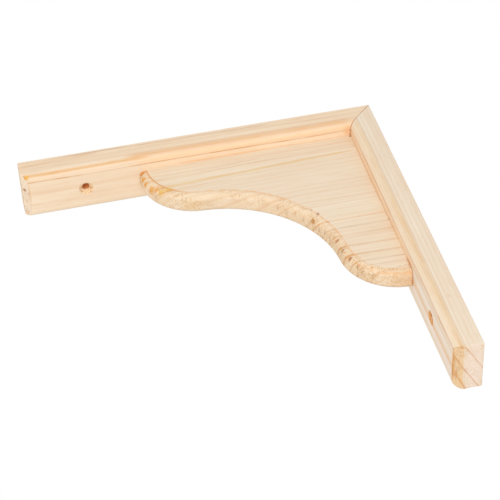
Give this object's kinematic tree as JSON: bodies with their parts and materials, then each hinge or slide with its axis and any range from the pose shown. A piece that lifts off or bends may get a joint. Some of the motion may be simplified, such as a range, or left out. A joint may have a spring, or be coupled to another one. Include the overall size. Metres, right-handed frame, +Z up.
{
  "type": "wooden corbel bracket",
  "caption": "Right-angled shelf bracket in bare pine: mitred battens braced by a gusset with a rounded ogee edge, and countersunk screw holes near the free ends.",
  "frame": {"origin": "the outer corner, where the wall face and the shelf face meet, in the middle of the bracket's width: the top of the wall_face mount", "axes": "+X across the bracket, +Y into the wall, -Y out along the shelf arm, +Z up into the shelf, -Z down along the wall arm"},
  "size_m": [0.028, 0.198, 0.202],
  "materials": {
    "shelf_arm_pine": "bare planed pine, no finish, slightly warmer than the other batten",
    "wall_arm_pine": "bare planed pine, no finish",
    "gusset_pine": "bare planed pine, no finish, grain along the shelf arm"
  },
  "bodies": {
    "root": {"shelf_arm": "shelf_arm_pine", "wall_arm": "wall_arm_pine", "gusset": "gusset_pine"}
  },
  "joints": []
}
